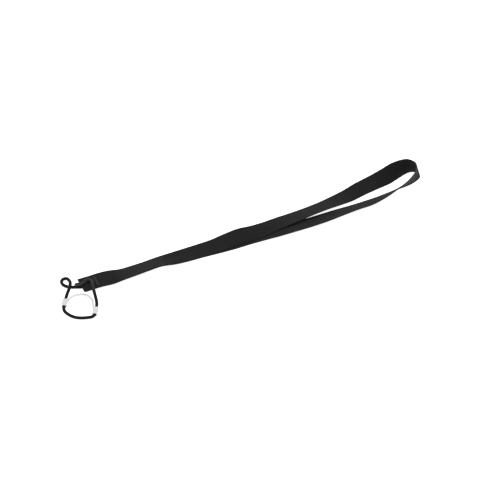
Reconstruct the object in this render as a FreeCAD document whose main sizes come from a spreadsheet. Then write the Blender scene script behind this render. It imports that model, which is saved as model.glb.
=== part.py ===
"""Bottle-holder neck lanyard, lying on a table. Millimetres, +Z up.

One ribbon of flat webbing runs out along +X, turns round and comes back, so that its two ends lie stacked.
A round cord is sewn on that end. Its two legs run through the two sleeves of a plastic yoke, and the yoke's
band and the cord's lowest run make the ring that grips a bottle's neck.
"""
import FreeCAD, Part
import math
import os
from FreeCAD import Placement, Rotation, Vector

DIMENSIONS = {
    "strap_width": 20.0,
    "strap_thickness": 1.0,
    "cord_diameter": 3.2,
    "ring_radius": 12.4,
    "band_thickness": 2.2,
    "band_height": 2.0,
    "band_edge_round": 0.4,
    "web_length": 10.5,
    "web_overlap": 0.01,
    "sleeve_width": 5.8,
    "sleeve_height": 4.4,
    "sleeve_corner": 1.1,
    "sleeve_bore": 3.7,
    "bore_reach": 1.0,
    "sleeve_length": 9.0,
    "thread_diameter": 0.45,
    "stitch_length": 2.4,
    "stitch_pitch": 0.75,
    "stitch_gap": 0.15,
}

# The webbing, from the end on top, out to the turn and back to the end below it.
# Each station: x and y of the ribbon's middle, its roll in degrees, and how far its lower edge is off the
# table. A positive roll lifts the edge that lies on the outside of the neck loop.
STRAP_STATIONS = [
    (-193.1, 11.4, 0, 4.8),
    (-182, 11.0, 0, 4.8),
    (-171, 10.8, 1, 4.6),
    (-160, 11.0, 0, 3.4),
    (-148, 9.3, -11, 2.0),
    (-134, 9.3, -16, 1.5),
    (-120, 9.4, -18, 1.4),
    (-106, 9.9, -17, 1.4),
    (-92, 9.4, -7, 1.4),
    (-78, 9.2, -2, 1.4),
    (-60, 8.9, 0, 1.4),
    (-42, 8.7, 1, 1.4),
    (-26, 9.2, 6, 1.4),
    (-10, 9.6, 9, 1.4),
    (6, 8.8, 5, 1.4),
    (22, 9.7, -2, 1.4),
    (40, 10.5, -8, 1.1),
    (58, 11.1, -13, 0.6),
    (76, 12.2, -16, 0.2),
    (94, 13.8, -15, 0),
    (112, 16.3, -8, 0),
    (128, 19.2, 0, 0),
    (143, 21.8, 6, 0),
    (156, 23.5, 10, 0),
    (168, 24.6, 16, 0),
    (180, 25.2, 29, 0),
    (190.3, 26.0, 48, 0),
    (199.3, 26.1, 66, 0),
    (206.7, 25.5, 81, 0),
    (212.1, 23.0, 98, 0),
    (216.0, 18.9, 108, 0),
    (215.2, 14.2, 108, 0),
    (211.6, 10.6, 101, 0),
    (207.0, 7.2, 90, 0),
    (201.6, 4.0, 79, 0),
    (192.9, 1.2, 67, 0),
    (182.4, -0.7, 55, 0),
    (170, -2.6, 45, 0),
    (156, -4.5, 36, 0),
    (140, -5.2, 28, 0),
    (122, -4.9, 27, 0),
    (103, -4.3, 22, 0),
    (85, -4.1, 18, 0),
    (66, -3.5, 16, 0),
    (48, -1.8, 13, 0),
    (30, 1.0, 7, 0),
    (14, 3.6, 3, 0),
    (-4, 5.3, 1, 0),
    (-22, 5.8, 1, 0),
    (-40, 7.2, 1, 0),
    (-58, 8.9, 1, 0),
    (-76, 9.8, 2, 0),
    (-91, 10.1, 7, 0),
    (-106, 10.0, 17, 0),
    (-120, 9.5, 18, 0),
    (-134, 9.4, 16, 0.1),
    (-148, 10.0, 11, 0.6),
    (-160, 11.5, 0, 2.0),
    (-171, 11.7, 0, 3.2),
    (-182, 12.0, 0, 3.4),
    (-192.3, 11.9, 0, 3.4),
]

# Both ends of the webbing are cut a little off square.
END_SLANT_DEG = 4.6

# The two sleeves of the yoke lie parallel, on the two legs of the cord. The band lies a little off the table.
SLEEVE_DEG = 61.0
SLEEVE_AXIS = Vector(math.cos(math.radians(SLEEVE_DEG)), math.sin(math.radians(SLEEVE_DEG)), 0)
LEFT_SLEEVE = (-215.8, -2.2)
RIGHT_SLEEVE = (-190.8, -26.1)
RING_CENTRE = (-201.9, -9.4)
BAND_START_DEG = -18.0
BAND_SWEEP_DEG = 163.0
BAND_LIFT = 0.4

# The cord, from the cut end on top of the webbing: a fold on the webbing's face, over its lower edge,
# through the right sleeve, round below the ring, through the left sleeve, round a small curl that passes
# over itself, and under the webbing, where its other end is sewn in.
CORD_ROUTE = [
    (-197.7, 14.8, 5.4),
    (-195.4, 12.9, 7.3),
    (-192.7, 11.4, 7.6),
    (-189.2, 11.8, 7.6),
    (-186.1, 14.3, 7.6),
    (-182.9, 14.3, 7.6),
    (-180.9, 11.8, 7.6),
    (-181.5, 7.6, 7.6),
    (-183.4, -0.9, 8.5),
    (-183.9, -7.0, 3.4),
    (-185.47, -16.48, 2.2),
    (-194.19, -32.22, 2.2),
    (-202.4, -30.0, 1.6),
    (-211.3, -25.9, 1.6),
    (-216.6, -19.9, 1.6),
    (-220.6, -10.86, 2.2),
    (-210.32, 7.68, 2.2),
    (-205.0, 13.0, 5.05),
    (-201.2, 20.0, 5.05),
    (-200.9, 26.6, 2.6),
    (-201.8, 31.0, 1.6),
    (-206.4, 31.8, 1.6),
    (-209.3, 28.0, 1.6),
    (-208.5, 22.4, 1.6),
    (-204.2, 18.0, 1.6),
    (-197.8, 14.9, 1.6),
    (-190.6, 11.9, 1.6),
    (-183.6, 9.8, 1.6),
    (-177.6, 10.2, 1.6),
]

# Stitches that bind the cord: the middle of the row on the cord's diagonal run, and that run's direction.
CORD_TACK_MIDDLE = Vector(-187.65, 13.05, 7.6)
CORD_TACK_ALONG = Vector(3.1, 2.5, 0)
CORD_TACK_COUNT = 3

# Stitches that join the two layers of webbing: a row across them, on both faces.
WEBBING_TACK_X = -176.2
WEBBING_TACK_Y = 11.0
WEBBING_TACK_FACES = (5.75, 3.25)
WEBBING_TACK_COUNT = 18

doc = FreeCAD.newDocument("lanyard")
sheet = doc.addObject("Spreadsheet::Sheet", "Dims")
for row, (alias, value) in enumerate(DIMENSIONS.items(), start=1):
    sheet.set(f"A{row}", alias)
    sheet.set(f"B{row}", str(value))
    sheet.setAlias(f"B{row}", alias)
doc.recompute()


def size(alias):
    """The value of one named cell."""
    return float(sheet.get(alias))


def bind(thing, **properties):
    """Bind properties of a document object to expressions in the sheet's names."""
    for name, expression in properties.items():
        thing.setExpression(name, expression)


def primitive(kind, name, placement, **properties):
    """A Part primitive whose sizes follow the sheet."""
    thing = doc.addObject(f"Part::{kind}", name)
    bind(thing, **properties)
    thing.Placement = placement
    return thing


def boolean(kind, name, base, tool):
    """A two-shape Part boolean."""
    thing = doc.addObject(f"Part::{kind}", name)
    thing.Base = base
    thing.Tool = tool
    doc.recompute()
    return thing


def rounded(name, base, radius, chosen):
    """A Part::Fillet of one radius on the edges of base that chosen() picks."""
    thing = doc.addObject("Part::Fillet", name)
    thing.Base = base
    numbered = enumerate(base.Shape.Edges, start=1)
    thing.Edges = [(number, radius, radius) for number, edge in numbered if chosen(edge)]
    doc.recompute()
    return thing


def frame_at(origin, first, second):
    """A placement whose X runs along first and whose Y lies in the plane of first and second."""
    return Placement(origin, Rotation(first, second, first.cross(second), "XYZ"))


def strap_placements():
    """One placement per station: X across the ribbon towards its outer edge, Y through its thickness."""
    width = size("strap_width")
    thickness = size("strap_thickness")
    last = len(STRAP_STATIONS) - 1
    placements = []
    for i, (x, y, roll_deg, lift) in enumerate(STRAP_STATIONS):
        before = STRAP_STATIONS[max(i - 1, 0)]
        after = STRAP_STATIONS[min(i + 1, last)]
        heading = Vector(after[0] - before[0], after[1] - before[1], 0).normalize()
        outward = Vector(-heading.y, heading.x, 0)
        roll = math.radians(roll_deg)
        across = outward * math.cos(roll) + Vector(0, 0, math.sin(roll))
        if i in (0, last):
            across = Rotation(Vector(0, 0, 1), END_SLANT_DEG).multVec(across)
            heading = across.cross(Vector(0, 0, 1))
        through = heading.cross(across)
        rise = width / 2 * abs(math.sin(roll)) + thickness / 2 * abs(math.cos(roll))
        corner = Vector(x, y, lift + rise) - across * (width / 2) - through * (thickness / 2)
        placements.append(frame_at(corner, across, through))
    return placements


def make_strap():
    """The webbing: one loft, straight from station to station, through a rectangle at each."""
    sections = []
    for i, placement in enumerate(strap_placements()):
        section = primitive(
            "Plane", f"StrapSection{i:02d}", placement,
            Length="Dims.strap_width", Width="Dims.strap_thickness",
        )
        sections.append(section)
    strap = doc.addObject("Part::Loft", "NeckStrap")
    strap.Sections = sections
    strap.Solid = True
    strap.Ruled = True
    strap.Label = "neck_strap"
    return strap


def rounded_route(points):
    """Straight runs joined by tangent arcs. Prints each arc's radius."""
    corners = [Vector(*point) for point in points]
    edges = []
    start = corners[0]
    radii = []
    for before, corner, after in zip(corners, corners[1:], corners[2:]):
        back = before - corner
        ahead = after - corner
        trim = 0.45 * min(back.Length, ahead.Length)
        back.normalize()
        ahead.normalize()
        half_turn = (math.pi - back.getAngle(ahead)) / 2
        radius = trim / math.tan(half_turn)
        radii.append(round(radius, 1))
        enter = corner + back * trim
        leave = corner + ahead * trim
        to_middle = (back + ahead).normalize()
        middle = corner + to_middle * (radius / math.cos(half_turn) - radius)
        edges.append(Part.LineSegment(start, enter).toShape())
        edges.append(Part.Arc(enter, middle, leave).toShape())
        start = leave
    edges.append(Part.LineSegment(start, corners[-1]).toShape())
    print("cord radii", radii, "least", min(radii))
    return Part.Wire(edges)


def make_cord():
    """The cord: one circle swept along its route."""
    path = rounded_route(CORD_ROUTE)
    route = doc.addObject("Part::Feature", "CordPath")
    route.Shape = path
    first, second = Vector(*CORD_ROUTE[0]), Vector(*CORD_ROUTE[1])
    start = Placement(first, Rotation(Vector(0, 0, 1), second - first))
    section = primitive("Circle", "CordSection", start, Radius="Dims.cord_diameter / 2")
    cord = doc.addObject("Part::Sweep", "NooseCord")
    cord.Sections = [section]
    cord.Spine = (route, [f"Edge{i + 1}" for i in range(len(path.Edges))])
    cord.Solid = True
    cord.Frenet = False
    cord.Label = "noose_cord"
    doc.recompute()
    expected = math.pi * (size("cord_diameter") / 2) ** 2 * path.Length
    print("cord length", round(path.Length, 1), "volume ratio", round(cord.Shape.Volume / expected, 4))
    return cord


def flat_circle(edge):
    """True for an edge that lies on a circle."""
    return isinstance(edge.Curve, Part.Circle)


def along_sleeve(edge):
    """True for a straight edge that runs the way the sleeves do."""
    return isinstance(edge.Curve, Part.Line) and abs(edge.Curve.Direction.dot(SLEEVE_AXIS)) > 0.99


def make_sleeve(side, middle):
    """One flat-bottomed sleeve on the table, and its bore, which reaches past both of the sleeve's ends."""
    turn = Rotation(SLEEVE_AXIS, SLEEVE_AXIS.cross(Vector(0, 0, -1)), Vector(0, 0, 1), "XYZ")
    corner = Vector(-size("sleeve_length") / 2, -size("sleeve_width") / 2, 0)
    block = primitive(
        "Box", f"{side}SleeveBlock", Placement(Vector(*middle, 0) + turn.multVec(corner), turn),
        Length="Dims.sleeve_length", Width="Dims.sleeve_width", Height="Dims.sleeve_height",
    )
    half_bore = size("sleeve_length") / 2 + size("bore_reach")
    start = Vector(*middle, size("sleeve_height") / 2) - SLEEVE_AXIS * half_bore
    bore = primitive(
        "Cylinder", f"{side}SleeveBore", Placement(start, Rotation(Vector(0, 0, 1), SLEEVE_AXIS)),
        Radius="Dims.sleeve_bore / 2", Height="Dims.sleeve_length + 2 * Dims.bore_reach",
    )
    doc.recompute()
    return rounded(f"{side}SleeveRounded", block, size("sleeve_corner"), along_sleeve), bore


def make_band():
    """The band of the yoke: part of a flat ring, low enough to pass below the webbing's end."""
    base = Vector(*RING_CENTRE, BAND_LIFT)
    placement = Placement(base, Rotation(Vector(0, 0, 1), BAND_START_DEG))
    outer = primitive(
        "Cylinder", "BandOuter", placement,
        Radius="Dims.ring_radius + Dims.band_thickness", Height="Dims.band_height",
    )
    outer.Angle = BAND_SWEEP_DEG
    inner = primitive(
        "Cylinder", "BandInner", placement, Radius="Dims.ring_radius", Height="Dims.band_height",
    )
    band = boolean("Cut", "BandArc", outer, inner)
    outer_radius = size("ring_radius") + size("band_thickness")
    return rounded(
        "BandRounded", band, size("band_edge_round"),
        lambda edge: flat_circle(edge) and abs(edge.Curve.Radius - outer_radius) < 0.01,
    )


def make_web():
    """The straight end of the band, which runs on from its arc into the right sleeve's wall."""
    turn = Rotation(Vector(0, 0, 1), BAND_START_DEG)
    corner = Vector(size("ring_radius"), -size("web_length"), 0)
    base = Vector(*RING_CENTRE, BAND_LIFT) + turn.multVec(corner)
    return primitive(
        "Box", "BandWeb", Placement(base, turn),
        Length="Dims.band_thickness", Width="Dims.web_length + Dims.web_overlap", Height="Dims.band_height",
    )


def make_yoke():
    """The yoke: band and sleeves in one moulding, with the bores cut last."""
    left, left_bore = make_sleeve("Left", LEFT_SLEEVE)
    right, right_bore = make_sleeve("Right", RIGHT_SLEEVE)
    band = boolean("Fuse", "BandWithWeb", make_band(), make_web())
    body = boolean("Fuse", "BandAndLeftSleeve", band, left)
    body = boolean("Fuse", "BandAndSleeves", body, right)
    body = boolean("Cut", "YokeLeftBored", body, left_bore)
    yoke = boolean("Cut", "BottleYoke", body, right_bore)
    yoke.Label = "bottle_yoke"
    return yoke


def make_stitch(name, middle):
    """A straight stitch along the webbing: a thread cylinder about its middle."""
    along = Vector(1, 0, 0)
    placement = Placement(middle - along * (size("stitch_length") / 2), Rotation(Vector(0, 0, 1), along))
    return primitive(
        "Cylinder", name, placement, Radius="Dims.thread_diameter / 2", Height="Dims.stitch_length",
    )


def make_cord_tack():
    """The stitches that bind the cord to the webbing: rings of thread round the cord, through the face."""
    along = Vector(CORD_TACK_ALONG).normalize()
    rings = []
    for i in range(CORD_TACK_COUNT):
        offset = (i - (CORD_TACK_COUNT - 1) / 2) * size("stitch_pitch")
        placement = Placement(CORD_TACK_MIDDLE + along * offset, Rotation(Vector(0, 0, 1), along))
        ring = primitive(
            "Torus", f"CordStitch{i}", placement,
            Radius1="Dims.cord_diameter / 2 + Dims.thread_diameter / 2 + Dims.stitch_gap",
            Radius2="Dims.thread_diameter / 2",
        )
        rings.append(ring)
    tack = doc.addObject("Part::Compound", "CordTack")
    tack.Links = rings
    tack.Label = "cord_bar_tack"
    return tack


def make_webbing_tack():
    """The row of stitches that joins the webbing's two ends, seen on both faces."""
    stitches = []
    for level, height in enumerate(WEBBING_TACK_FACES):
        for i in range(WEBBING_TACK_COUNT):
            offset = (i - (WEBBING_TACK_COUNT - 1) / 2) * size("stitch_pitch")
            middle = Vector(WEBBING_TACK_X, WEBBING_TACK_Y + offset, height)
            stitches.append(make_stitch(f"WebbingStitch{level}_{i}", middle))
    tack = doc.addObject("Part::Compound", "WebbingTack")
    tack.Links = stitches
    tack.Label = "webbing_bar_tack"
    return tack


parts = [make_strap(), make_cord(), make_yoke(), make_cord_tack(), make_webbing_tack()]
doc.recompute()

for thing in doc.Objects:
    if "Invalid" in thing.State or "Error" in thing.State:
        raise RuntimeError(f"{thing.Name} failed: {thing.State}")

os.makedirs("parts", exist_ok=True)
for part in parts:
    if part.Shape.isNull() or not part.Shape.isValid():
        raise RuntimeError(f"{part.Label} has no valid shape")
    box = part.Shape.BoundBox
    print(part.Label, "volume", round(part.Shape.Volume, 1), "solids", len(part.Shape.Solids), box)
    part.Shape.exportStep(os.path.join("parts", f"{part.Label}.step"))
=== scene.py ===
"""Bottle-holder lanyard on a white table: webbing and cord made here, yoke and stitches from the frame."""
import math

import bpy
from mathutils import Matrix, Vector


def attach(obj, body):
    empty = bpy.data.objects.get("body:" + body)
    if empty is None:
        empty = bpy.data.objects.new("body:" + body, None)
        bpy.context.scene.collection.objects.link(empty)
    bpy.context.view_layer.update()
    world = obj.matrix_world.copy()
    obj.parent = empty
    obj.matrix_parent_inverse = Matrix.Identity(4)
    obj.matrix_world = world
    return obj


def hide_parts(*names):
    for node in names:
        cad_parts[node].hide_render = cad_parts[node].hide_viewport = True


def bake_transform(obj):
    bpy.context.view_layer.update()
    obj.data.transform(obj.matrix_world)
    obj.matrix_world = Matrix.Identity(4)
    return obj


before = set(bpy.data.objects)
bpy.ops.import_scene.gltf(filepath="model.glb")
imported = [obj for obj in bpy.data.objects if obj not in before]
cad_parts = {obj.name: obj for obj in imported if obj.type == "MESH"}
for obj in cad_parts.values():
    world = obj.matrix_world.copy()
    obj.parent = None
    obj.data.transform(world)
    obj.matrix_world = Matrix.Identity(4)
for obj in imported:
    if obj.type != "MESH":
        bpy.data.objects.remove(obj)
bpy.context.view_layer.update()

MM = 0.001

# ---------------------------------------------------------------- camera

CAMERA_TARGET = Vector((-0.012, 0.007, 0.0))
CAMERA_DISTANCE = 1.35
CAMERA_TILT_DEG = 45.0
CAMERA_TURN_DEG = -25.0
CAMERA_LENS_MM = 93.2


def make_camera():
    """The camera, a long lens looking down at the table from beyond the cord's end."""
    data = bpy.data.cameras.new("camera")
    data.sensor_width = 36.0
    data.lens = CAMERA_LENS_MM
    data.clip_start = 0.05
    data.clip_end = 20.0
    camera = bpy.data.objects.new("camera", data)
    bpy.context.collection.objects.link(camera)
    camera.rotation_euler = (math.radians(CAMERA_TILT_DEG), 0, math.radians(CAMERA_TURN_DEG))
    backwards = camera.rotation_euler.to_matrix() @ Vector((0, 0, 1))
    camera.location = CAMERA_TARGET + backwards * CAMERA_DISTANCE
    bpy.context.scene.camera = camera


# ---------------------------------------------------------------- shader helpers


class Graph:
    """A material's node tree, with its Principled shader and short ways to add nodes."""

    def __init__(self, name):
        self.material = bpy.data.materials.new(name)
        self.material.use_nodes = True
        self.nodes = self.material.node_tree.nodes
        self.links = self.material.node_tree.links
        self.shader = self.nodes["Principled BSDF"]

    def put(self, socket, value):
        """Links value to socket if it is an output, or else sets it there."""
        if isinstance(value, bpy.types.NodeSocket):
            self.links.new(value, socket)
        else:
            socket.default_value = value

    def maths(self, operation, *values):
        """One Math node."""
        node = self.nodes.new("ShaderNodeMath")
        node.operation = operation
        for socket, value in zip(node.inputs, values):
            self.put(socket, value)
        return node.outputs[0]

    def remap(self, value, low, high, to_low, to_high):
        """value taken from one range to another, clamped."""
        node = self.nodes.new("ShaderNodeMapRange")
        for socket, number in zip(node.inputs, (value, low, high, to_low, to_high)):
            self.put(socket, number)
        return node.outputs[0]

    def attribute(self, name):
        """A vector attribute of the mesh, as its three parts."""
        node = self.nodes.new("ShaderNodeAttribute")
        node.attribute_name = name
        parts = self.nodes.new("ShaderNodeSeparateXYZ")
        self.links.new(node.outputs["Vector"], parts.inputs[0])
        return parts.outputs

    def place(self):
        """The point in the piece's own coordinates, in metres."""
        return self.nodes.new("ShaderNodeTexCoord").outputs["Object"]

    def noise(self, where, scale, detail=3.0):
        """Noise of that many cells a metre."""
        node = self.nodes.new("ShaderNodeTexNoise")
        self.put(node.inputs["Vector"], where)
        node.inputs["Scale"].default_value = scale
        node.inputs["Detail"].default_value = detail
        return node.outputs[0]

    def blend(self, amount, low, high):
        """A colour between two greys or colours."""
        node = self.nodes.new("ShaderNodeMix")
        node.data_type = "RGBA"
        self.put(node.inputs[0], amount)
        self.put(node.inputs[6], low)
        self.put(node.inputs[7], high)
        return node.outputs[2]

    def bump(self, height, distance, strength):
        """Bump of that depth, in metres, on the shader's normal."""
        node = self.nodes.new("ShaderNodeBump")
        node.inputs["Strength"].default_value = strength
        node.inputs["Distance"].default_value = distance
        self.put(node.inputs["Height"], height)
        self.put(self.shader.inputs["Normal"], node.outputs[0])

    def set(self, **values):
        """Sets or links the shader's own sockets, by their names with underscores for spaces."""
        for name, value in values.items():
            self.put(self.shader.inputs[name.replace("_", " ")], value)


def grey(level, tint=0.0):
    """A grey, or a slightly blue one."""
    return (level, level, level * (1 + tint), 1.0)


# ---------------------------------------------------------------- materials

WARP_PITCH_MM = 0.9
WEFT_PITCH_MM = 0.62
STRAND_PITCH_MM = 0.24
# Painted highlight on the cord's first stretch, where it lies on the webbing's face: where it ends, how
# long it fades, and how strong it is.
PAINTED_HIGHLIGHT_TO_MM = 40.0
PAINTED_HIGHLIGHT_FADE_MM = 14.0
PAINTED_HIGHLIGHT_SHARE = 0.55


def webbing_material():
    """Black polyester webbing: plain weave of ribs, with paler worn edges and a soft sheen."""
    g = Graph("webbing")
    across, along, _ = g.attribute("ribbon")
    warp = g.maths("SINE", g.maths("MULTIPLY", across, math.pi / WARP_PITCH_MM))
    weft = g.maths("SINE", g.maths("MULTIPLY", along, math.pi / WEFT_PITCH_MM))
    over = g.remap(g.maths("MULTIPLY", warp, weft), -0.25, 0.25, 0.0, 1.0)
    warp_height = g.maths("MULTIPLY", g.maths("ABSOLUTE", warp), over)
    weft_height = g.maths("MULTIPLY", g.maths("ABSOLUTE", weft), g.maths("SUBTRACT", 1.0, over))
    weave = g.maths("ADD", warp_height, g.maths("MULTIPLY", weft_height, 0.8))
    place = g.place()
    fibres = g.noise(place, 5200.0, 2.0)
    patches = g.noise(place, 34.0, 4.0)
    worn = g.remap(g.maths("ABSOLUTE", across), 8.9, 9.9, 0.0, 0.35)
    # The weave's height lightens the raised threads and darkens the dips between them: painted shade.
    shade = g.maths("ADD", g.maths("MULTIPLY", weave, 0.45), g.maths("MULTIPLY", fibres, 0.35))
    shade = g.maths("ADD", shade, g.maths("MULTIPLY", g.maths("SUBTRACT", patches, 0.5), 0.5))
    shade = g.maths("ADD", shade, worn)
    g.set(
        Base_Color=g.blend(shade, grey(0.004, 0.02), grey(0.023, 0.02)),
        Roughness=g.remap(fibres, 0.3, 0.7, 0.72, 0.92),
        Specular_IOR_Level=0.12,
        Sheen_Weight=0.05,
        Sheen_Roughness=0.45,
    )
    g.bump(g.maths("ADD", weave, g.maths("MULTIPLY", fibres, 0.4)), 0.16 * MM, 0.9)
    return g.material


def cord_material():
    """Black braided cord, with a painted highlight that greys it where it lies on the webbing's face. The
    braid itself is in the mesh.
    """
    g = Graph("cord")
    _, along, height = g.attribute("braid")
    place = g.place()
    fibres = g.noise(place, 6500.0, 2.0)
    patches = g.noise(place, 120.0, 3.0)
    # The braid's height lightens the raised strands and darkens the grooves between them: painted shade.
    shade = g.maths("ADD", g.maths("MULTIPLY", height, 0.55), g.maths("MULTIPLY", fibres, 0.3))
    shade = g.maths("ADD", shade, g.maths("MULTIPLY", g.maths("SUBTRACT", patches, 0.5), 0.4))
    strands = g.maths("ABSOLUTE", g.maths("SINE", g.maths("MULTIPLY", along, math.pi / STRAND_PITCH_MM)))
    black = g.blend(shade, grey(0.002, 0.02), grey(0.010, 0.02))
    # Painted highlight: over its first stretch, on the webbing's face, the cord is blended towards a paler
    # grey.
    painted_highlight = g.remap(along, PAINTED_HIGHLIGHT_TO_MM - PAINTED_HIGHLIGHT_FADE_MM, PAINTED_HIGHLIGHT_TO_MM, PAINTED_HIGHLIGHT_SHARE, 0.0)
    g.set(
        Base_Color=g.blend(painted_highlight, black, grey(0.055, 0.02)),
        Roughness=g.remap(fibres, 0.3, 0.7, 0.6, 0.85),
        Specular_IOR_Level=0.16,
        Sheen_Weight=0.05,
        Sheen_Roughness=0.4,
    )
    g.bump(g.maths("ADD", g.maths("MULTIPLY", strands, 0.5), fibres), 0.05 * MM, 0.8)
    return g.material


def yoke_material():
    """Milky unpigmented plastic: soft scatter, satin gloss, faint flow marks and handling scuffs."""
    g = Graph("yoke_plastic")
    place = g.place()
    flow = g.noise(place, 160.0, 2.0)
    scuffs = g.noise(place, 2400.0, 4.0)
    g.set(
        Base_Color=g.blend(flow, grey(0.66, 0.01), grey(0.75, 0.01)),
        Roughness=g.remap(scuffs, 0.35, 0.65, 0.28, 0.46),
        Subsurface_Weight=0.35,
        Subsurface_Radius=(1.0, 1.0, 1.0),
        Subsurface_Scale=0.8 * MM,
        IOR=1.5,
        Coat_Weight=0.08,
        Coat_Roughness=0.25,
    )
    g.bump(g.maths("ADD", flow, g.maths("MULTIPLY", scuffs, 0.3)), 0.04 * MM, 0.5)
    return g.material


def thread_material():
    """Black sewing thread: two plies twisted together, slightly shiny."""
    g = Graph("thread")
    place = g.place()
    plies = g.nodes.new("ShaderNodeTexWave")
    plies.bands_direction = "DIAGONAL"
    g.put(plies.inputs["Vector"], place)
    plies.inputs["Scale"].default_value = 900.0
    plies.inputs["Distortion"].default_value = 1.5
    fibres = g.noise(place, 7000.0, 2.0)
    # The plies' bands, which also drive the bump, lighten the raised twist and darken the grooves between
    # the plies: painted shade.
    shade = g.maths("ADD", g.maths("MULTIPLY", plies.outputs["Fac"], 0.6), g.maths("MULTIPLY", fibres, 0.4))
    g.set(
        Base_Color=g.blend(shade, grey(0.012, 0.02), grey(0.05, 0.02)),
        Roughness=g.remap(fibres, 0.3, 0.7, 0.45, 0.7),
        Specular_IOR_Level=0.35,
        Sheen_Weight=0.1,
    )
    g.bump(plies.outputs["Fac"], 0.06 * MM, 0.7)
    return g.material


# ---------------------------------------------------------------- cord

CORD_DIAMETER = 3.4 * MM

# The route, in millimetres, from the cut end on the webbing's face to the end sewn in below it. The two
# points in the middle of the sleeves hold the line straight there.
CORD_ROUTE_MM = [
    (-197.7, 14.8, 5.4),
    (-195.4, 12.9, 7.3),
    (-192.7, 11.4, 7.6),
    (-189.2, 11.8, 7.6),
    (-186.1, 14.3, 7.6),
    (-182.9, 14.3, 7.6),
    (-180.9, 11.8, 7.6),
    (-181.5, 7.6, 7.6),
    (-183.4, -0.9, 8.5),
    (-183.9, -7.0, 3.4),
    (-185.47, -16.48, 2.2),
    (-190.03, -24.7, 2.2),
    (-194.19, -32.22, 2.2),
    (-202.4, -30.0, 1.6),
    (-211.3, -25.9, 1.6),
    (-216.6, -19.9, 1.6),
    (-220.6, -10.86, 2.2),
    (-215.46, -1.59, 2.2),
    (-210.32, 7.68, 2.2),
    (-205.0, 13.0, 5.05),
    (-201.2, 20.0, 5.05),
    (-200.9, 26.6, 2.6),
    (-201.8, 31.0, 1.6),
    (-206.4, 31.8, 1.6),
    (-209.3, 28.0, 1.6),
    (-208.5, 22.4, 1.6),
    (-204.2, 18.0, 1.6),
    (-197.8, 14.9, 1.6),
    (-190.6, 11.9, 1.6),
    (-183.6, 9.8, 1.6),
    (-177.6, 10.2, 1.6),
]

CORD_STEP = 0.3 * MM
CORD_SIDES = 48
BRAID_CARRIERS = 8
BRAID_LAY = 2.4 * MM
BRAID_DEPTH = 0.13 * MM
STRAND_FLATNESS = 0.6
UNDER_STRAND_HEIGHT = 0.35


def smooth_line(points):
    """The points down the NURBS curve whose control points these are, in metres."""
    curve = bpy.data.curves.new("route", "CURVE")
    curve.dimensions = "3D"
    curve.resolution_u = 24
    spline = curve.splines.new("NURBS")
    spline.points.add(len(points) - 1)
    for control, point in zip(spline.points, points):
        control.co = (*(value * MM for value in point), 1.0)
    spline.order_u = 3
    spline.use_endpoint_u = True
    holder = bpy.data.objects.new("route", curve)
    mesh = bpy.data.meshes.new_from_object(holder)
    line = [vertex.co.copy() for vertex in mesh.vertices]
    bpy.data.objects.remove(holder)
    bpy.data.curves.remove(curve)
    bpy.data.meshes.remove(mesh)
    return line


def evenly(line, step):
    """The line again as (distance along it, point) pairs, about one step apart."""
    reached = [0.0]
    for a, b in zip(line, line[1:]):
        reached.append(reached[-1] + (b - a).length)
    count = max(2, round(reached[-1] / step))
    spaced, i = [], 0
    for k in range(count + 1):
        wanted = reached[-1] * k / count
        while i < len(line) - 2 and reached[i + 1] < wanted:
            i += 1
        share = (wanted - reached[i]) / max(reached[i + 1] - reached[i], 1e-12)
        spaced.append((wanted, line[i].lerp(line[i + 1], min(share, 1.0))))
    return spaced


def braid_height(turn, along):
    """0 to 1: how far the braid stands out, at a share of a turn round the cord and a distance along it."""
    right = BRAID_CARRIERS * turn + along / BRAID_LAY * 2
    left = BRAID_CARRIERS * turn - along / BRAID_LAY * 2
    ridge_right = math.sin(math.pi * (right % 1.0))
    ridge_left = math.sin(math.pi * (left % 1.0))
    right_is_over = (math.floor(right) + math.floor(left)) % 2 == 0
    over, under = (ridge_right, ridge_left) if right_is_over else (ridge_left, ridge_right)
    return max(over ** STRAND_FLATNESS, UNDER_STRAND_HEIGHT * under)


def mesh_object(name, points, faces, attribute, values):
    """A smooth mesh object with one vector attribute on its points."""
    mesh = bpy.data.meshes.new(name)
    mesh.from_pydata(points, [], faces)
    for polygon in mesh.polygons:
        polygon.use_smooth = True
    stored = mesh.attributes.new(attribute, "FLOAT_VECTOR", "POINT")
    stored.data.foreach_set("vector", [number for value in values for number in value])
    mesh.update()
    made = bpy.data.objects.new(name, mesh)
    bpy.context.collection.objects.link(made)
    return made


def ring_faces(rings, sides):
    """Quads between rings of that many points."""
    faces = []
    for i in range(rings - 1):
        for j in range(sides):
            k = (j + 1) % sides
            faces.append((i * sides + j, i * sides + k, (i + 1) * sides + k, (i + 1) * sides + j))
    return faces


def make_cord():
    """The cord: a tube along the smooth route, with the braid's strands raised on it."""
    line = smooth_line(CORD_ROUTE_MM)
    spaced = evenly(line, CORD_STEP)
    points, values = [], []
    normal = Vector((0, 0, 1))
    last = len(spaced) - 1
    for i, (along, middle) in enumerate(spaced):
        before, after = spaced[max(i - 1, 0)][1], spaced[min(i + 1, last)][1]
        forward = (after - before).normalized()
        normal = (normal - forward * normal.dot(forward)).normalized()
        side = forward.cross(normal)
        for j in range(CORD_SIDES):
            turn = j / CORD_SIDES
            height = braid_height(turn, along)
            radius = CORD_DIAMETER / 2 - BRAID_DEPTH * (1 - height)
            angle = 2 * math.pi * turn
            points.append(middle + (normal * math.cos(angle) + side * math.sin(angle)) * radius)
            values.append((turn, along / MM, height))
    faces = ring_faces(len(spaced), CORD_SIDES)
    for first, inward in ((0, spaced[0][1]), (last * CORD_SIDES, spaced[-1][1])):
        centre = len(points)
        points.append(inward)
        values.append((0, 0, 0))
        for j in range(CORD_SIDES):
            k = (j + 1) % CORD_SIDES
            faces.append((centre, first + k, first + j) if first == 0 else (centre, first + j, first + k))
    cord = mesh_object("noose_cord_braided", points, faces, "braid", values)
    cord.data.materials.append(cord_material())
    return cord, line


# ---------------------------------------------------------------- webbing

STRAP_WIDTH = 20.0
STRAP_THICKNESS = 1.0
END_SLANT_DEG = 4.6

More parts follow.
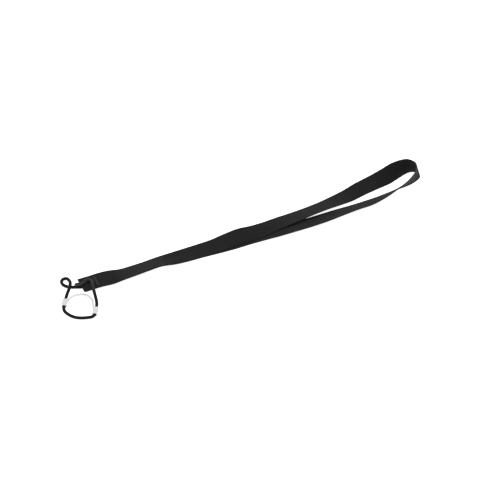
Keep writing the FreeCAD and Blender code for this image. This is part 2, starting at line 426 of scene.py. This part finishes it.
# Stations in millimetres, from the end on top, out to the turn and back to the end below it: x and y of the
# ribbon's middle, its roll in degrees, and how far its lower edge is off the table.
STRAP_STATIONS = [
    (-193.1, 11.4, 0, 4.8),
    (-182, 11.0, 0, 4.8),
    (-171, 10.8, 1, 4.6),
    (-160, 11.0, 0, 3.4),
    (-148, 9.3, -11, 2.0),
    (-134, 9.3, -16, 1.5),
    (-120, 9.4, -18, 1.4),
    (-106, 9.9, -17, 1.4),
    (-92, 9.4, -7, 1.4),
    (-78, 9.2, -2, 1.4),
    (-60, 8.9, 0, 1.4),
    (-42, 8.7, 1, 1.4),
    (-26, 9.2, 6, 1.4),
    (-10, 9.6, 9, 1.4),
    (6, 8.8, 5, 1.4),
    (22, 9.7, -2, 1.4),
    (40, 10.5, -8, 1.1),
    (58, 11.1, -13, 0.6),
    (76, 12.2, -16, 0.2),
    (94, 13.8, -15, 0),
    (112, 16.3, -8, 0),
    (128, 19.2, 0, 0),
    (143, 21.8, 6, 0),
    (156, 23.5, 10, 0),
    (168, 24.6, 16, 0),
    (180, 25.2, 29, 0),
    (190.3, 26.0, 48, 0),
    (199.3, 26.1, 66, 0),
    (206.7, 25.5, 81, 0),
    (212.1, 23.0, 98, 0),
    (216.0, 18.9, 108, 0),
    (215.2, 14.2, 108, 0),
    (211.6, 10.6, 101, 0),
    (207.0, 7.2, 90, 0),
    (201.6, 4.0, 79, 0),
    (192.9, 1.2, 67, 0),
    (182.4, -0.7, 55, 0),
    (170, -2.6, 45, 0),
    (156, -4.5, 36, 0),
    (140, -5.2, 28, 0),
    (122, -4.9, 27, 0),
    (103, -4.3, 22, 0),
    (85, -4.1, 18, 0),
    (66, -3.5, 16, 0),
    (48, -1.8, 13, 0),
    (30, 1.0, 7, 0),
    (14, 3.6, 3, 0),
    (-4, 5.3, 1, 0),
    (-22, 5.8, 1, 0),
    (-40, 7.2, 1, 0),
    (-58, 8.9, 1, 0),
    (-76, 9.8, 2, 0),
    (-91, 10.1, 7, 0),
    (-106, 10.0, 17, 0),
    (-120, 9.5, 18, 0),
    (-134, 9.4, 16, 0.1),
    (-148, 10.0, 11, 0.6),
    (-160, 11.5, 0, 2.0),
    (-171, 11.7, 0, 3.2),
    (-182, 12.0, 0, 3.4),
    (-192.3, 11.9, 0, 3.4),
]

ROW_STEP = 0.9 * MM
COLUMNS = 25
EDGE_POINTS = 4
EDGE_ROUND_MM = 0.5
SELVEDGE_PITCH_MM = 1.24
SELVEDGE_DEPTH_MM = 0.07
SELVEDGE_SHARE_MM = 1.0
CUT_ROWS = 4
CUT_THICKNESS_SHARE = 0.72


def strap_frames():
    """The middle and the across direction of the ribbon at each station."""
    frames = []
    last = len(STRAP_STATIONS) - 1
    for i, (x, y, roll_deg, lift) in enumerate(STRAP_STATIONS):
        before, after = STRAP_STATIONS[max(i - 1, 0)], STRAP_STATIONS[min(i + 1, last)]
        heading = Vector((after[0] - before[0], after[1] - before[1], 0)).normalized()
        roll = math.radians(roll_deg)
        across = Vector((-heading.y, heading.x, 0)) * math.cos(roll) + Vector((0, 0, math.sin(roll)))
        if i in (0, last):
            across = Matrix.Rotation(math.radians(END_SLANT_DEG), 3, "Z") @ across
        rise = STRAP_WIDTH / 2 * abs(math.sin(roll)) + STRAP_THICKNESS / 2 * abs(math.cos(roll))
        frames.append((Vector((x, y, lift + rise)), across))
    return frames


def hermite(a, b, slope_a, slope_b, t):
    """A cubic from a to b with those slopes, at t from 0 to 1."""
    return (
        a * (2 * t ** 3 - 3 * t ** 2 + 1) + slope_a * (t ** 3 - 2 * t ** 2 + t)
        + b * (3 * t ** 2 - 2 * t ** 3) + slope_b * (t ** 3 - t ** 2)
    )


def smooth_rows():
    """Rows of the ribbon: middle, across direction and distance along, in millimetres."""
    frames = strap_frames()
    chords = [(b[0] - a[0]).length for a, b in zip(frames, frames[1:])]
    last = len(frames) - 1

    def slope(k, which):
        """The rate of change of middle or across with distance, at station k."""
        low, high = max(k - 1, 0), min(k + 1, last)
        return (frames[high][which] - frames[low][which]) / sum(chords[low:high])

    rows, along = [], 0.0
    for k, chord in enumerate(chords):
        steps = max(2, round(chord * MM / ROW_STEP))
        for n in range(steps + (k == last - 1)):
            t = n / steps
            middle, across = (
                hermite(frames[k][w], frames[k + 1][w], slope(k, w) * chord, slope(k + 1, w) * chord, t)
                for w in (0, 1)
            )
            if rows:
                along += (middle - rows[-1][0]).length
            rows.append((middle, across.normalized(), along))
    return rows


def strap_profile():
    """The webbing's section, as (across, through, side) in millimetres: a flat band with rounded edges."""
    half, round_off = STRAP_WIDTH / 2, EDGE_ROUND_MM
    flat = half - round_off
    top = [(-flat + 2 * flat * i / (COLUMNS - 1), STRAP_THICKNESS / 2, 1) for i in range(COLUMNS)]
    right = []
    for i in range(1, EDGE_POINTS):
        angle = math.pi / 2 - math.pi * i / EDGE_POINTS
        right.append((flat + round_off * math.cos(angle), STRAP_THICKNESS / 2 * math.sin(angle), 0))
    return top + right + [(-u, -v, -s) for u, v, s in top] + [(-u, -v, s) for u, v, s in right]


def end_faces(first, sides, flip):
    """The faces that close the webbing at the ring of points that starts at first."""
    faces = []
    bottom = [COLUMNS + EDGE_POINTS - 1 + i for i in range(COLUMNS)][::-1]
    for a, b in zip(range(COLUMNS - 1), range(1, COLUMNS)):
        faces.append((first + a, first + bottom[a], first + bottom[b], first + b))
    for start, stop in ((COLUMNS - 1, COLUMNS + EDGE_POINTS - 1), (sides - EDGE_POINTS, sides)):
        faces.append(tuple(first + j % sides for j in range(stop, start - 1, -1)))
    return [tuple(reversed(face)) for face in faces] if flip else faces


def make_webbing():
    """The neck strap: one band of woven webbing with a crimped selvedge and heat-cut ends."""
    rows, profile = smooth_rows(), strap_profile()
    points, values = [], []
    last = len(rows) - 1
    for i, (middle, across, along) in enumerate(rows):
        before, after = rows[max(i - 1, 0)][0], rows[min(i + 1, last)][0]
        through = (after - before).cross(across).normalized()
        scallop = SELVEDGE_DEPTH_MM * math.sin(2 * math.pi * along / SELVEDGE_PITCH_MM)
        from_end = min(min(i, last - i) / CUT_ROWS, 1.0)
        pinch = CUT_THICKNESS_SHARE + (1 - CUT_THICKNESS_SHARE) * math.sqrt(from_end)
        for u, v, side in profile:
            spread = u + math.copysign(scallop, u) * (abs(u) > STRAP_WIDTH / 2 - SELVEDGE_SHARE_MM)
            points.append((middle + across * spread + through * v * pinch) * MM)
            values.append((u, along, side))
    sides = len(profile)
    faces = ring_faces(len(rows), sides) + end_faces(0, sides, False) + end_faces(last * sides, sides, True)
    strap = mesh_object("neck_strap_webbing", points, faces, "ribbon", values)
    strap.data.materials.append(webbing_material())
    return strap


# ---------------------------------------------------------------- stage


def make_stage():
    """A white floor that the light bleaches, as in a catalogue picture."""
    reach = 4.0
    mesh = bpy.data.meshes.new("floor")
    corners = [(-reach, -reach, 0), (reach, -reach, 0), (reach, reach, 0), (-reach, reach, 0)]
    mesh.from_pydata(corners, [], [(0, 1, 2, 3)])
    floor = bpy.data.objects.new("floor", mesh)
    bpy.context.collection.objects.link(floor)
    g = Graph("floor")
    g.set(
        Base_Color=grey(0.9), Roughness=0.9, Specular_IOR_Level=0.1,
        Emission_Color=grey(1.0), Emission_Strength=0.85,
    )
    mesh.materials.append(g.material)


def area_light(name, place, target, size, power):
    """A square softbox that faces its target."""
    data = bpy.data.lights.new(name, "AREA")
    data.size = size
    data.energy = power
    light = bpy.data.objects.new(name, data)
    bpy.context.collection.objects.link(light)
    light.location = place
    light.rotation_euler = (Vector(target) - Vector(place)).to_track_quat("-Z", "Y").to_euler()


def make_light():
    """A white room, a large softbox over the table and a weaker one from the left."""
    world = bpy.data.worlds.new("room")
    world.use_nodes = True
    world.node_tree.nodes["Background"].inputs[0].default_value = grey(1.0)
    world.node_tree.nodes["Background"].inputs[1].default_value = 0.72
    bpy.context.scene.world = world
    area_light("overhead", (0.2, 0.3, 1.6), (0, 0, 0), 1.4, 8.0)
    area_light("left", (-1.3, 0.4, 0.9), (0, 0, 0), 0.8, 3.0)
    bpy.context.scene.view_settings.view_transform = "Standard"


# ---------------------------------------------------------------- assembly


def paint(node, material):
    """Gives a CAD node its finish."""
    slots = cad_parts[node].data.materials
    slots.clear()
    slots.append(material)


def build():
    """Makes the cord and the webbing, ties the webbing to its body, and gives the yoke and the stitches
    their finish.
    """
    cord, line = make_cord()
    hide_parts("noose_cord")
    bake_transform(cord)

    strap = make_webbing()
    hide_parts("neck_strap")
    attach(strap, "strap")

    paint("bottle_yoke", yoke_material())
    thread = thread_material()
    paint("cord_bar_tack", thread)
    paint("webbing_bar_tack", thread)


make_camera()
build()
make_stage()
make_light()
